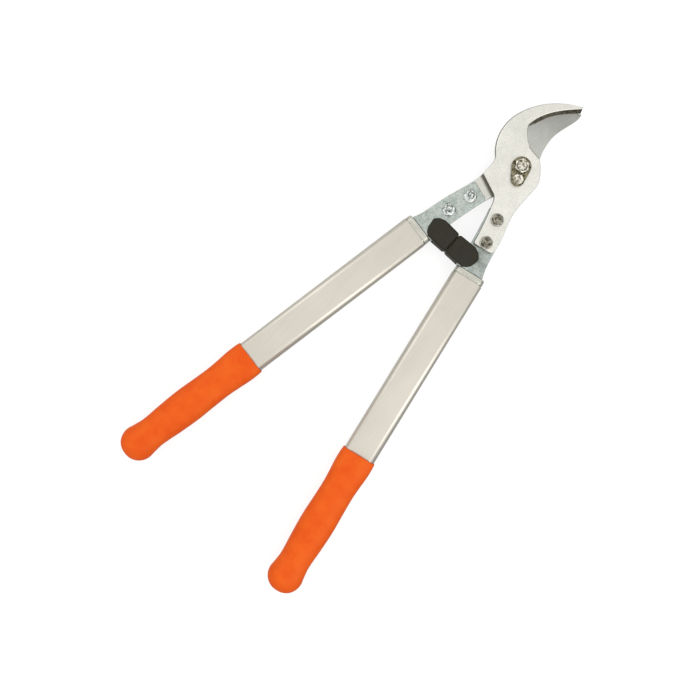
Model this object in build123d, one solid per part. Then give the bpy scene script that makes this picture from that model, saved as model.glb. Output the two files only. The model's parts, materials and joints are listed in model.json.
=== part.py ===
from build123d import *
from math import acos, atan2, cos, pi, sin
import os

# Bypass loppers, jaws closed, lying flat with the hook side up.
# Every piece is first made about the pivot: the pivot axis is Z, the jaws point along +Y,
# and z = 0 is the plane where the hook slides over the cutting blade.
# Pieces of the handles are made in the right handle's own frame, which runs down its Y axis
# with the outer edge towards +X, and are then swung out by half the angle between the handles.
# The left handle is the right one turned half a turn about the tool's long axis.
# At the end the whole tool is moved so that its origin is the middle of its footprint.

# ---- driving dimensions, mm -------------------------------------------------------------------
HALF_ANGLE = 10.6            # degrees between the tool's axis and each handle, jaws closed

HOOK_THICK = 7.0             # forged counter-blade
BLADE_THICK = 6.0            # cutting blade
SLIDE_GAP = 0.05             # between hook and blade, and between blade and head washer
BLADE_HUB_R = 21.5

PIVOT_SHANK_R = 6.0          # plain part of the pivot bolt
PIVOT_FLATS = 10.4           # across the two flats that key the bolt to the hook
PIVOT_THREAD_R = 5.0
PIVOT_HEAD_FLATS = 19.0
PIVOT_HEAD_HEIGHT = 7.0
PIVOT_END_Z = 15.8           # top of the bolt's thread
RUNNING_FIT = 0.05           # radial clearance of bolt in bush
FIT_GAP = 0.02               # radial clearance of pieces that are pressed or pushed together
REACH = 40.0                 # more than any piece is deep, for shapes that only cut others
PIVOT_END_BEVEL = 0.9
BUSH_R = 7.5
HEAD_WASHER_R = 13.0
HEAD_WASHER_THICK = 1.5
HEAD_WASHER_BEVEL = 0.4

CORNER_DROP = 0.7            # how far down a hexagon's corners are turned off, and how far in
CORNER_IN = 1.3

NUT_HEX_FLATS = 14.0
NUT_TOP_Z = 14.8
NUT_POINT_GAP = 0.1          # between the nut's flats and the lock plate's twelve-point hole

LOCK_X = 6.4                 # centre of the lock plate's screw
LOCK_Y = -13.0
LOCK_EYE_R = 10.5            # rounded end of the plate round the nut
LOCK_TAIL_R = 7.2            # rounded end round the screw
LOCK_THICK = 4.0
LOCK_BEVEL = 0.8
LOCK_SCREW_R = 3.0
LOCK_HEAD_R = 5.6
LOCK_HEAD_HEIGHT = 3.0
LOCK_HEAD_BEVEL = 0.9
LOCK_SLOT_WIDE = 1.4
LOCK_SLOT_DEEP = 1.4
LOCK_SLOT_TURN = 35.0        # degrees from the X axis
LOCK_SCREW_FOOT = 0.6        # the screw stops this far above the blade

BOLT_R = 3.0                 # M6 flange bolts that hold the hook and the blade to their shanks
BOLT_PLACES = ((7.8, -61.7), (10.4, -88.4))
BOLT_FLATS = 10.0            # hexagon of heads and nuts alike
BOLT_FLANGE_R = 7.2
BOLT_FLANGE_RIM = 0.9        # thickness of the flange at its rim
BOLT_FLANGE_RISE = 0.9       # further height that its cone gains towards the hexagon
BOLT_HEAD_HEIGHT = 6.6
BOLT_LENGTH = 21.2           # under the head
BOLT_END_BEVEL = 0.7
NUT_HEIGHT = 6.2

SHANK_PLATE = 6.0            # thickness under the hook or over the blade
SHANK_TOP = -48.5
SHANK_FOOT = -124.2          # where the shank's shoulder meets the collar
TONGUE_WIDE = 24.0           # the part of the shank inside the collar
TONGUE_DEEP = 10.0
TONGUE_CORNER_R = 1.5
TONGUE_END = -168.0

COLLAR_FOOT = -131.7         # where the collar's flange meets the tube
COLLAR_WIDE = 34.8
COLLAR_DEEP = 19.4
COLLAR_CORNER_R = 6.2
COLLAR_SHOULDER = 2.4        # round of the flange's front edge
COLLAR_END = -176.0          # the part of the collar inside the tube

TUBE_X = 13.7                # centre line of the tube from the pivot, across the handle
TUBE_WIDE = 35.6
TUBE_DEEP = 20.0
TUBE_CORNER_R = 6.5
TUBE_WALL = 1.8
TUBE_END = -372.0            # the tube stops inside the mouth of the grip
SEAT_GAP = 0.05              # collar and core in the bore of the tube, tongue in the collar

CORE_TOP = -330.0
CORE_END = -505.0
STEM_WIDE = 24.0
STEM_DEEP = 14.0
STEM_CORNER_R = 5.0

TUBE_PIN_R = 2.5
TUBE_PIN_PLACES = (-153.0, -345.0)
TUBE_PIN_TOP = 7.0           # the pin stops inside the collar or the core, above the middle

# distance down the handle, width and depth of the grip, from its mouth to its ball end
GRIP_SECTIONS = (
    (352.0, 37.6, 23.6), (358.0, 39.4, 25.6), (369.0, 39.4, 26.0), (382.0, 37.3, 25.4),
    (396.0, 35.9, 25.0), (415.0, 36.6, 26.0), (437.0, 37.9, 27.0), (460.0, 36.4, 26.2),
    (484.0, 33.8, 25.0), (497.0, 36.3, 27.6), (507.0, 38.3, 29.0), (514.0, 34.4, 26.0),
    (519.5, 23.0, 17.5), (521.5, 9.0, 7.0),
)
GRIP_ROUNDNESS = 0.46        # corner radius over depth
GRIP_LIP = 1.0               # the mouth's bore starts this far in front of the first section

BUMPER_GAP = 0.5             # from the tool's axis to each bumper's striking face
BUMPER_OUTER = 32.5
BUMPER_TOP = -96.5
BUMPER_FOOT = -121.5
BUMPER_HALF_DEEP = 11.8
BUMPER_EDGE = 1.6
BUMPER_PIN_R = 2.5
BUMPER_PIN_PLACE = (22.0, -109.5)
BUMPER_PIN_TOP = 5.0


# ---- helpers ----------------------------------------------------------------------------------
def solid_between(outline, low, high):
    """Raise a flat outline into a solid between two heights."""
    return extrude(Pos(0, 0, low) * outline, high - low)


def cylinder_between(radius, low, high, x=0.0, y=0.0):
    """A round bar on a vertical axis between two heights."""
    return solid_between(Pos(x, y) * Circle(radius), low, high)


def hexagon_between(flats, low, high, x=0.0, y=0.0):
    """A hexagonal bar between two heights."""
    return solid_between(Pos(x, y) * RegularPolygon(flats / 2, 6, major_radius=False), low, high)


def nut_blank(flats, low, high, x=0.0, y=0.0):
    """A hexagonal bar with its corners turned down to a cone at both ends, as nuts are."""
    corner_r = flats / 2 / cos(pi / 6)
    turned = cylinder_between(corner_r, low, high, x, y)
    turned = chamfer(turned.edges().filter_by(GeomType.CIRCLE), CORNER_DROP, CORNER_IN)
    return hexagon_between(flats, low, high, x, y) & turned


def face_of(*edges):
    """A flat face inside a closed run of curves."""
    return make_face(Curve() + list(edges))


def along_handle(wide, deep, corner_r, start, end):
    """A rounded bar round the tube's centre line between two stations of the handle."""
    section = Plane((TUBE_X, start, 0), x_dir=(1, 0, 0), z_dir=(0, -1, 0))
    return extrude(section * RectangleRounded(wide, deep, corner_r), start - end)


def swing(piece, side):
    """Take a piece from the handle's frame to the tool's, for the right or the left handle."""
    right = Rot(0, 0, HALF_ANGLE) * piece
    return right if side == "right" else turn_over(right)


def turn_over(piece):
    """Half a turn about the tool's long axis."""
    return Rot(0, 180, 0) * piece


def down(side):
    """Which way the tool's underside lies in the frame of each handle."""
    return -1 if side == "right" else 1


# ---- jaws -------------------------------------------------------------------------------------
TANG_INNER = ((3.0, -47.5), (9.0, -64.5), (16.3, -91.0))
TANG_END = ((17.8, -93.9), (35.2, -90.6))
TANG_OUTER = ((39.3, -84.6), (36.0, -70.0), (31.0, -55.5), (27.7, -43.5))


def tang_curves():
    """The inner edge, the end and the outer edge of the hook's tang, from the crotch round."""
    inner = Spline(*TANG_INNER)
    inner_corner = TangentArc(TANG_INNER[-1], TANG_END[0], tangent=inner % 1)
    end = Line(*TANG_END)
    outer_corner = TangentArc(TANG_END[1], TANG_OUTER[0], tangent=end % 1)
    return [inner, inner_corner, end, outer_corner]


def hook_outline(jaw_points, nose):
    """The hook's outline at one height, with the jaw's inner edge through the given points."""
    tip = (6.5, 91.0)
    back = Spline(tip, (-19.0, 74.0), (-36.0, 51.5), (-43.0, 28.0), (-38.0, 4.0), (-28.5, -8.5))
    waist = Spline((-28.5, -8.5), (-25.3, -19.0), tangents=(back % 1, (0, -1)))
    side = Line((-25.3, -19.0), (-25.5, -32.0))
    shoulder = Line((-25.5, -32.0), (-3.0, -40.6))
    crotch = Spline((-3.0, -40.6), TANG_INNER[0], tangents=(shoulder % 1, (0.36, -0.93)))
    tang = tang_curves()
    outer = Spline(*TANG_OUTER, (26.5, -28.0), (26.5, -6.0))
    hub = Spline((26.5, -6.0), (22.0, 6.0), (12.5, 16.7), (3.0, 20.7), tangents=(outer % 1, (-1, 0.12)))
    mouth = Spline((3.0, 20.7), (-8.5, 22.9), (-18.0, 30.0), (-24.0, 39.0), tangents=(hub % 1, (-0.35, 1)))
    jaw = Spline((-24.0, 39.0), *jaw_points, nose)
    return face_of(back, waist, side, shoulder, crotch, *tang, outer, hub, mouth, jaw, Line(nose, tip))


def counter_blade():
    """The forged hook: square edges outside, and a steep ground bevel along the jaw."""
    under = hook_outline(((-20.4, 45.0), (-14.8, 58.6), (-5.0, 72.8)), (9.2, 86.6))
    upper = hook_outline(((-22.0, 49.5), (-15.6, 63.0), (-5.4, 76.4)), (7.3, 89.3))
    body = loft([under, Pos(0, 0, HOOK_THICK) * upper], ruled=True)
    body -= cylinder_between(PIVOT_SHANK_R + FIT_GAP, 0, HOOK_THICK) & Box(
        REACH, PIVOT_FLATS + 2 * FIT_GAP, REACH)
    body -= cylinder_between(LOCK_SCREW_R + FIT_GAP, 0, HOOK_THICK, LOCK_X, LOCK_Y)
    for x, y in BOLT_PLACES:
        body -= swing(cylinder_between(BOLT_R + FIT_GAP, 0, HOOK_THICK, x, y), "right")
    return body


def cutting_blade():
    """The blade under the hook: flat on top, its cutting edge ground from below."""
    upper = blade_face(((-9.0, 77.0), (-20.5, 61.0), (-26.6, 44.0), (-28.2, 26.0)))
    under = blade_face(((5.5, 76.0), (-7.0, 61.0), (-14.6, 44.0), (-18.6, 26.0)))
    top = -SLIDE_GAP
    body = loft([Pos(0, 0, top - BLADE_THICK) * under, Pos(0, 0, top) * upper], ruled=True)
    body -= cylinder_between(BUSH_R + FIT_GAP, top - BLADE_THICK, top)
    for x, y in BOLT_PLACES:
        hole = cylinder_between(BOLT_R + FIT_GAP, 0, REACH, x, y)
        body -= swing(hole, "left")
    return body


def blade_face(edge_points):
    """The closed outline of the blade at one height."""
    tip = (10.6, 86.8)
    heel = (-22.0, 6.0)
    edge = Spline(tip, *edge_points, heel, tangents=((-0.8, -0.6), (0.1, -1)))
    side = Spline(heel, (-22.6, -12.0), (-25.0, -30.0), (-27.7, -43.5), tangents=(edge % 1, (-0.24, -1)))
    mirrored = [(-x, y) for x, y in reversed(TANG_OUTER)]
    outer = Spline(*mirrored, tangents=(side % 1, (-0.2, -1)))
    end = Line((-TANG_END[1][0], TANG_END[1][1]), (-TANG_END[0][0], TANG_END[0][1]))
    outer_corner = Spline(mirrored[-1], end @ 0, tangents=(outer % 1, end % 0))
    inner = Spline(*[(-x, y) for x, y in reversed(TANG_INNER)])
    inner_corner = Spline(end @ 1, inner @ 0, tangents=(end % 1, inner % 0))
    neck = Spline(inner @ 1, (5.0, -30.0), (17.0, -13.0), (BLADE_HUB_R, 0.0), tangents=(inner % 1, (0, 1)))
    hub = Spline((BLADE_HUB_R, 0.0), (17.6, 12.4), (10.2, 20.2), tangents=((0, 1), (-0.5, 0.85)))
    back = Spline((10.2, 20.2), (5.2, 35.0), (4.0, 48.0), (7.2, 65.5), (11.2, 80.0), tip,
                  tangents=(hub % 1, (-0.4, 1)))
    return face_of(edge, side, outer, outer_corner, end, inner_corner, inner, neck, hub, back)


# ---- pivot ------------------------------------------------------------------------------------
def pivot_bolt():
    """Hexagonal head below, plain shank in the bush, flats in the hook, thread on top."""
    head_top = -2 * SLIDE_GAP - BLADE_THICK - HEAD_WASHER_THICK
    head = nut_blank(PIVOT_HEAD_FLATS, head_top - PIVOT_HEAD_HEIGHT, head_top)
    shank = cylinder_between(PIVOT_SHANK_R, head_top, 0)
    keyed = cylinder_between(PIVOT_SHANK_R, 0, HOOK_THICK) & Box(REACH, PIVOT_FLATS, REACH)
    thread = cylinder_between(PIVOT_THREAD_R, HOOK_THICK, PIVOT_END_Z)
    thread = chamfer(thread.edges().group_by(Axis.Z)[-1], PIVOT_END_BEVEL)
    return head + shank + keyed + thread


def pivot_bush():
    """Bronze sleeve pressed into the blade."""
    top = -SLIDE_GAP
    sleeve = cylinder_between(BUSH_R, top - BLADE_THICK, top)
    return sleeve - cylinder_between(PIVOT_SHANK_R + RUNNING_FIT, top - BLADE_THICK, top)


def head_washer():
    """Hardened washer between the bolt's head and the blade."""
    top = -2 * SLIDE_GAP - BLADE_THICK
    ring = cylinder_between(HEAD_WASHER_R, top - HEAD_WASHER_THICK, top)
    ring = chamfer(ring.edges().group_by(Axis.Z)[0], HEAD_WASHER_BEVEL)
    return ring - cylinder_between(PIVOT_SHANK_R + FIT_GAP, top - HEAD_WASHER_THICK, top)


def adjusting_nut():
    """Hexagonal nut that sets how tightly the jaws slide."""
    nut = nut_blank(NUT_HEX_FLATS, HOOK_THICK, NUT_TOP_Z)
    return nut - cylinder_between(PIVOT_THREAD_R + FIT_GAP, HOOK_THICK, NUT_TOP_Z)


def lock_plate():
    """Teardrop plate with a twelve-point hole that stops the nut turning."""
    reach = (LOCK_X ** 2 + LOCK_Y ** 2) ** 0.5
    heading = atan2(LOCK_Y, LOCK_X)
    spread = acos((LOCK_EYE_R - LOCK_TAIL_R) / reach)
    corners = []
    for radius, x, y, turn in ((LOCK_EYE_R, 0, 0, spread), (LOCK_TAIL_R, LOCK_X, LOCK_Y, spread),
                               (LOCK_TAIL_R, LOCK_X, LOCK_Y, -spread), (LOCK_EYE_R, 0, 0, -spread)):
        corners.append((x + radius * cos(heading + turn), y + radius * sin(heading + turn)))
    outline = Circle(LOCK_EYE_R) + Pos(LOCK_X, LOCK_Y) * Circle(LOCK_TAIL_R)
    outline += make_face(Polyline(*corners, close=True))
    top = HOOK_THICK + LOCK_THICK
    plate = solid_between(outline, HOOK_THICK, top)
    plate = chamfer(plate.edges().group_by(Axis.Z)[-1], LOCK_BEVEL)
    flats = NUT_HEX_FLATS + 2 * NUT_POINT_GAP
    hole = hexagon_between(flats, HOOK_THICK, top) + Rot(0, 0, 30) * hexagon_between(flats, HOOK_THICK, top)
    return plate - hole - cylinder_between(LOCK_SCREW_R + FIT_GAP, HOOK_THICK, top, LOCK_X, LOCK_Y)


def lock_screw():
    """Slotted screw that holds the lock plate down on the hook."""
    seat = HOOK_THICK + LOCK_THICK
    top = seat + LOCK_HEAD_HEIGHT
    head = cylinder_between(LOCK_HEAD_R, seat, top, LOCK_X, LOCK_Y)
    head = chamfer(head.edges().group_by(Axis.Z)[-1], LOCK_HEAD_BEVEL)
    slot = Rot(0, 0, LOCK_SLOT_TURN) * Box(REACH, LOCK_SLOT_WIDE, 2 * LOCK_SLOT_DEEP)
    head -= Pos(LOCK_X, LOCK_Y, top) * slot
    return head + cylinder_between(LOCK_SCREW_R, LOCK_SCREW_FOOT, seat, LOCK_X, LOCK_Y)


# ---- bolts that join the jaws to their shanks -------------------------------------------------
def flanged_hexagon(height):
    """A hexagon with a flange below it, standing on z = 0, as flange bolts and nuts have."""
    rim = cylinder_between(BOLT_FLANGE_R, 0, BOLT_FLANGE_RIM)
    rise = BOLT_FLANGE_R - BOLT_FLATS / 2
    collar = cylinder_between(BOLT_FLANGE_R, BOLT_FLANGE_RIM, BOLT_FLANGE_RIM + BOLT_FLANGE_RISE)
    collar = chamfer(collar.edges().group_by(Axis.Z)[-1], 0.99 * BOLT_FLANGE_RISE, rise)
    return rim + collar + nut_blank(BOLT_FLATS, 0, height)


def jaw_bolts(side, jaw_thick):
    """Flange bolts, heads on the jaw."""
    group = []
    for x, y in BOLT_PLACES:
        shank = cylinder_between(BOLT_R, jaw_thick - BOLT_LENGTH, jaw_thick)
        shank = chamfer(shank.edges().group_by(Axis.Z)[0], BOLT_END_BEVEL)
        bolt = Pos(0, 0, jaw_thick) * flanged_hexagon(BOLT_HEAD_HEIGHT) + shank
        group.append(swing(Pos(x, y, 0) * bolt, side))
    return Part() + group


def jaw_nuts(side):
    """Flange nuts on the shank's side."""
    group = []
    for x, y in BOLT_PLACES:
        nut = Rot(180, 0, 0) * flanged_hexagon(NUT_HEIGHT)
        nut -= cylinder_between(BOLT_R + FIT_GAP, -NUT_HEIGHT, 0)
        group.append(swing(Pos(x, y, -SHANK_PLATE) * nut, side))
    return Part() + group


# ---- handles ----------------------------------------------------------------------------------
def shank_blank():
    """The cast shank in the handle's frame: plate, swelling neck, stop lug and tongue."""
    outer = Spline((18.0, SHANK_TOP), (21.4, -70.0), (24.2, -98.0), (25.2, -115.0), (27.4, SHANK_FOOT))
    foot = Line((27.4, SHANK_FOOT), (-3.0, SHANK_FOOT))
    fillet_run = Spline((-3.0, SHANK_FOOT), (-6.0, -122.3), (-12.0, -121.3), tangents=((-0.4, 1), (-1, 0.1)))
    lug = Polyline((-12.0, -121.3), (-16.2, -119.0), (-13.6, -104.0), (-10.6, -102.2), (-2.6, -100.6))
    inner = Spline((-2.6, -100.6), (-3.2, -84.0), (-5.3, -52.5))
    toe = Polyline((-5.3, -52.5), (-3.6, -50.2), (16.4, -47.9), (18.0, SHANK_TOP))
    plan = solid_between(face_of(outer, foot, fillet_run, lug, inner, toe), -REACH, REACH)

    half = COLLAR_DEEP / 2 - COLLAR_SHOULDER / 2
    top_start = (0, -96.4, 0)
    top_end = (0, SHANK_FOOT, half)
    under_start = (0, -97.0, -SHANK_PLATE)
    under_end = (0, SHANK_FOOT, -half)
    front = -40.0
    ramp = Spline(top_start, top_end, tangents=((0, -1, 0), (0, -1, 0)))
    belly = Spline(under_end, under_start, tangents=((0, 1, 0), (0, 1, 0)))
    profile = face_of(
        Line((0, front, 0), top_start), ramp, Line(top_end, under_end),
        belly, Polyline(under_start, (0, front, -SHANK_PLATE), (0, front, 0)))
    body = plan & extrude(profile, REACH, dir=(1, 0, 0), both=True)
    body += along_handle(TONGUE_WIDE, TONGUE_DEEP, TONGUE_CORNER_R, SHANK_FOOT, TONGUE_END)
    for x, y in BOLT_PLACES:
        body -= cylinder_between(BOLT_R + FIT_GAP, -SHANK_PLATE, 0, x, y)
    return body


def collar(side):
    """The tube's end piece: a flange in front of the tube, a plug inside it, a mortise for the tongue."""
    flange = along_handle(COLLAR_WIDE, COLLAR_DEEP, COLLAR_CORNER_R, SHANK_FOOT, COLLAR_FOOT)
    flange = chamfer(flange.edges().group_by(Axis.Y)[-1], COLLAR_SHOULDER)
    plug = along_handle(TUBE_WIDE - 2 * TUBE_WALL - 2 * SEAT_GAP, TUBE_DEEP - 2 * TUBE_WALL - 2 * SEAT_GAP,
                        TUBE_CORNER_R - TUBE_WALL, COLLAR_FOOT, COLLAR_END)
    mortise = along_handle(TONGUE_WIDE + 2 * SEAT_GAP, TONGUE_DEEP + 2 * SEAT_GAP, TONGUE_CORNER_R,
                           SHANK_FOOT, TONGUE_END)
    return swing(flange + plug - mortise - tube_pin_holes(side), side)


def shank(side):
    """One shank with the blind holes of its pins, which open on the tool's underside."""
    return swing(shank_blank() - tube_pin_holes(side), side) - bumper_pin_hole(side)


def bumper(side):
    """Rubber stop pushed over the shank's lug, with flat cheeks above and below."""
    middle = (BUMPER_TOP + BUMPER_FOOT) / 2
    half = (BUMPER_TOP - BUMPER_FOOT) / 2
    outline = Polyline(
        (BUMPER_GAP, middle - half + 1.6), (BUMPER_GAP + 1.6, middle - half), (24.5, middle - half),
        (29.8, middle - half + 2.4), (BUMPER_OUTER, middle - half + 6.4),
        (BUMPER_OUTER, middle + half - 6.4), (27.6, middle + half - 1.8), (21.5, middle + half),
        (BUMPER_GAP + 1.6, middle + half - 0.7), (BUMPER_GAP, middle + half - 2.3), close=True)
    block = solid_between(make_face(outline), -BUMPER_HALF_DEEP, BUMPER_HALF_DEEP)
    rims = block.faces().sort_by(Axis.Z)[-1].edges() + block.faces().sort_by(Axis.Z)[0].edges()
    block = chamfer(rims, BUMPER_EDGE)
    block = block if side == "right" else turn_over(block)
    return block - swing(shank_blank(), side) - bumper_pin_hole(side)


def bumper_pin_hole(side):
    """The bore for the bumper's pin."""
    return bumper_pin(side, BUMPER_PIN_R + FIT_GAP)


def bumper_pin(side, radius=BUMPER_PIN_R):
    """Spring pin through the lower cheek and the shank, blind at the top."""
    x, y = BUMPER_PIN_PLACE
    x = x if side == "right" else -x
    return cylinder_between(radius, -BUMPER_HALF_DEEP, BUMPER_PIN_TOP, x, y)


def tube_pins(side, radius=TUBE_PIN_R):
    """Spring pins through the underside of the tube into the collar with the tongue, and the core."""
    ends = sorted((down(side) * TUBE_DEEP / 2, -down(side) * TUBE_PIN_TOP))
    return Part() + [cylinder_between(radius, *ends, TUBE_X, y) for y in TUBE_PIN_PLACES]


def tube_pin_holes(side):
    """The bores for the tube's pins."""
    return tube_pins(side, TUBE_PIN_R + FIT_GAP)


def tube(side):
    """Flat-sided oval aluminium tube."""
    body = along_handle(TUBE_WIDE, TUBE_DEEP, TUBE_CORNER_R, COLLAR_FOOT - SEAT_GAP, TUBE_END)
    body -= along_handle(TUBE_WIDE - 2 * TUBE_WALL, TUBE_DEEP - 2 * TUBE_WALL, TUBE_CORNER_R - TUBE_WALL,
                         COLLAR_FOOT, TUBE_END)
    return swing(body - tube_pin_holes(side), side)


def core_blank():
    """Moulded core: a spigot in the tube and a slimmer stem that carries the grip."""
    spigot = along_handle(TUBE_WIDE - 2 * TUBE_WALL - 2 * SEAT_GAP, TUBE_DEEP - 2 * TUBE_WALL - 2 * SEAT_GAP,
                          TUBE_CORNER_R - TUBE_WALL, CORE_TOP, TUBE_END)
    return spigot + along_handle(STEM_WIDE, STEM_DEEP, STEM_CORNER_R, TUBE_END, CORE_END)


def grip_core(side):
    """The core with its pin's blind hole."""
    return swing(core_blank() - tube_pin_holes(side), side)


def grip(side):
    """Soft grip: a rolled mouth, a waist, a palm swell, a neck and a ball end."""
    sections = []
    for distance, wide, deep in GRIP_SECTIONS:
        section = Plane((TUBE_X, -distance, 0), x_dir=(1, 0, 0), z_dir=(0, -1, 0))
        sections.append(section * RectangleRounded(wide, deep, GRIP_ROUNDNESS * deep))
    body = loft(sections)
    body -= along_handle(TUBE_WIDE, TUBE_DEEP, TUBE_CORNER_R, GRIP_LIP - GRIP_SECTIONS[0][0], TUBE_END)
    body -= along_handle(STEM_WIDE, STEM_DEEP, STEM_CORNER_R, TUBE_END, CORE_END)
    return swing(body, side)


# ---- the whole tool ---------------------------------------------------------------------------
def all_pieces():
    """Every node by name, about the pivot."""
    pieces = {
        "counter_blade": counter_blade(),
        "cutting_blade": cutting_blade(),
        "pivot_bolt": pivot_bolt(),
        "pivot_bush": pivot_bush(),
        "pivot_head_washer": head_washer(),
        "adjusting_nut": adjusting_nut(),
        "lock_plate": lock_plate(),
        "lock_screw": lock_screw(),
    }
    for side, jaw, jaw_thick in (("right", "hook", HOOK_THICK), ("left", "blade", BLADE_THICK + SLIDE_GAP)):
        pieces[f"{jaw}_bolts"] = jaw_bolts(side, jaw_thick)
        pieces[f"{jaw}_nuts"] = jaw_nuts(side)
        pieces[f"{side}_shank"] = shank(side)
        pieces[f"{side}_collar"] = collar(side)
        pieces[f"{side}_bumper"] = bumper(side)
        pieces[f"{side}_bumper_pin"] = bumper_pin(side)
        pieces[f"{side}_tube"] = tube(side)
        pieces[f"{side}_tube_pins"] = swing(tube_pins(side), side)
        pieces[f"{side}_grip_core"] = grip_core(side)
        pieces[f"{side}_grip"] = grip(side)
    return pieces


def main():
    """Move the tool onto its origin and write one STEP file for each node."""
    pieces = all_pieces()
    boxes = [piece.bounding_box() for piece in pieces.values()]
    middle_x = (min(box.min.X for box in boxes) + max(box.max.X for box in boxes)) / 2
    middle_y = (min(box.min.Y for box in boxes) + max(box.max.Y for box in boxes)) / 2
    bottom = min(box.min.Z for box in boxes)
    home = Pos(-middle_x, -middle_y, -bottom)
    print("pivot axis and sliding plane at", -middle_x, -middle_y, -bottom)
    os.makedirs("parts", exist_ok=True)
    for name, piece in pieces.items():
        export_step(home * piece, f"parts/{name}.step")


main()
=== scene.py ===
"""Bypass loppers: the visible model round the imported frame, as an add-on with a tool for each group."""
import json
from functools import cached_property
from math import atan2, cos, pi, radians, sin, tau

import bmesh
import bpy
from bpy.props import FloatProperty, FloatVectorProperty, IntProperty, PointerProperty
from bpy.types import Operator, Panel, PropertyGroup
from mathutils import Matrix, Vector
from mathutils.geometry import delaunay_2d_cdt


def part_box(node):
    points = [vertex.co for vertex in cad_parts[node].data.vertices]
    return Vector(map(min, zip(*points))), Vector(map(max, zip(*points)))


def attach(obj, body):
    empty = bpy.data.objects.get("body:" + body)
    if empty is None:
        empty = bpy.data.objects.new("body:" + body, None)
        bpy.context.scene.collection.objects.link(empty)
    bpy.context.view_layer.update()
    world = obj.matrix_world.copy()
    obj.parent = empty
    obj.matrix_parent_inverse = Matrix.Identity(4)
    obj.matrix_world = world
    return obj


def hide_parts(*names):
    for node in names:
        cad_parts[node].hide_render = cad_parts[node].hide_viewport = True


bl_info = {
    "name": "Bypass Loppers",
    "version": (1, 0, 0),
    "blender": (4, 5, 0),
    "location": "View3D > Sidebar > Loppers",
    "description": "Builds the jaws, pivot, handles and grips of a pair of bypass loppers",
    "category": "Object",
}

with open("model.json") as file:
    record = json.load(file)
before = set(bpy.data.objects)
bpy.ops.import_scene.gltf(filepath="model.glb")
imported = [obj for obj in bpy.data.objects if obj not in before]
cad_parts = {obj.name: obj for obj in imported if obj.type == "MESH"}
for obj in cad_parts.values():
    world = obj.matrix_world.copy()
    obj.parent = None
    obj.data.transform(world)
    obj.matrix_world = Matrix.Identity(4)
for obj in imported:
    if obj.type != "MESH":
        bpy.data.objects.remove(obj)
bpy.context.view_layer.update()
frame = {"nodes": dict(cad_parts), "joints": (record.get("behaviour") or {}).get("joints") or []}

# ---- places, read from the frame ----
# Shapes are drawn in millimetres about the pivot, or in a handle's own frame, and a place matrix
# takes them to the row frame in metres. A handle's frame runs down its Y axis from the pivot, with
# its outer edge towards +X. The left handle is the right one turned over about the tool's length.
MM = 0.001
PIVOT = Vector(frame["joints"][0]["pos_m"])
BODIES = {"right": "hook_handle", "left": "blade_handle"}
SIGNS = {"right": 1, "left": -1}          # the side of the tool's axis that a handle lies on


def corners_of(node):
    """The far corners of a CAD node's box about the pivot, in mm."""
    return [(corner - PIVOT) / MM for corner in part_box(node)]


def node_size(node):
    """Length, width and height of a CAD node, in mm."""
    low, high = corners_of(node)
    return high - low


def middle_of(node):
    """The middle of a CAD node's box about the pivot, in mm."""
    low, high = corners_of(node)
    return (low + high) / 2


def height_of(node):
    """How low and how high a CAD node reaches from the sliding plane, in mm."""
    return [corner.z for corner in corners_of(node)]


def two_axes(node, radius):
    """The upright axes of two round pieces in one node, about the pivot: the near one, then the far one."""
    low, high = corners_of(node)
    side = 1 if low.x + high.x > 0 else -1
    reach = sorted((abs(low.x), abs(high.x)))
    near = Vector((side * (reach[0] + radius), high.y - radius, 0))
    far = Vector((side * (reach[1] - radius), low.y + radius, 0))
    return near, far


PIN_R = node_size("right_bumper_pin").x / 2
PIN_NEAR, PIN_FAR = two_axes("right_tube_pins", PIN_R)
HANDLE_TURN = atan2(PIN_FAR.x - PIN_NEAR.x, PIN_NEAR.y - PIN_FAR.y)
TUBE_X = PIN_NEAR.x * cos(HANDLE_TURN) + PIN_NEAR.y * sin(HANDLE_TURN)
TUBE_DEEP = node_size("right_tube").z
COLLAR_DEEP = node_size("right_collar").z
HOOK_TOP = height_of("counter_blade")[1]
BLADE_FOOT = height_of("cutting_blade")[0]
HOOK_TIP_Y = corners_of("counter_blade")[1].y
BLADE_TIP_Y = corners_of("cutting_blade")[1].y

PIVOT_PLACE = Matrix.Translation(PIVOT) @ Matrix.Scale(MM, 4)
HANDLE_PLACE = {"right": PIVOT_PLACE @ Matrix.Rotation(HANDLE_TURN, 4, "Z"),
                "left": PIVOT_PLACE @ Matrix.Rotation(pi, 4, "Y") @ Matrix.Rotation(HANDLE_TURN, 4, "Z")}

# ---- fixed shapes, mm ----
ROUND_STEPS = 72              # points round a turned piece, a multiple of twelve for the hexagons
SECTION_STEPS = 96            # points round a handle's section
BOLT_FLATS = 10.0
BOLT_FLANGE_R = 7.2
BOLT_THREAD_R = 3.0
PIVOT_THREAD_R = 5.0
PIVOT_SHANK_R = 6.0
PIVOT_NUT_FLATS = node_size("adjusting_nut").y
PIVOT_HEAD_FLATS = node_size("pivot_bolt").y
TUBE_WIDE = 35.6
TUBE_CORNER_R = 6.5
COLLAR_WIDE = 34.8
COLLAR_CORNER_R = 6.2
PLUG_SECTION = (31.9, 16.3, 4.7)          # width, depth and corner radius
TONGUE_SECTION = (24.1, 10.1, 1.5)
STEM_SECTION = (24.0, 14.0, 5.0)
SHANK_FOOT = 124.2            # distances down the handle
TONGUE_END = 168.0
PLUG_END = 176.0
TUBE_END = 372.0
STEM_END = 505.0
GRIP_MOUTH = 352.0
GRIP_BALL = 503.0             # from here the grip ends in a dome
GRIP_END = 521.5
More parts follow.
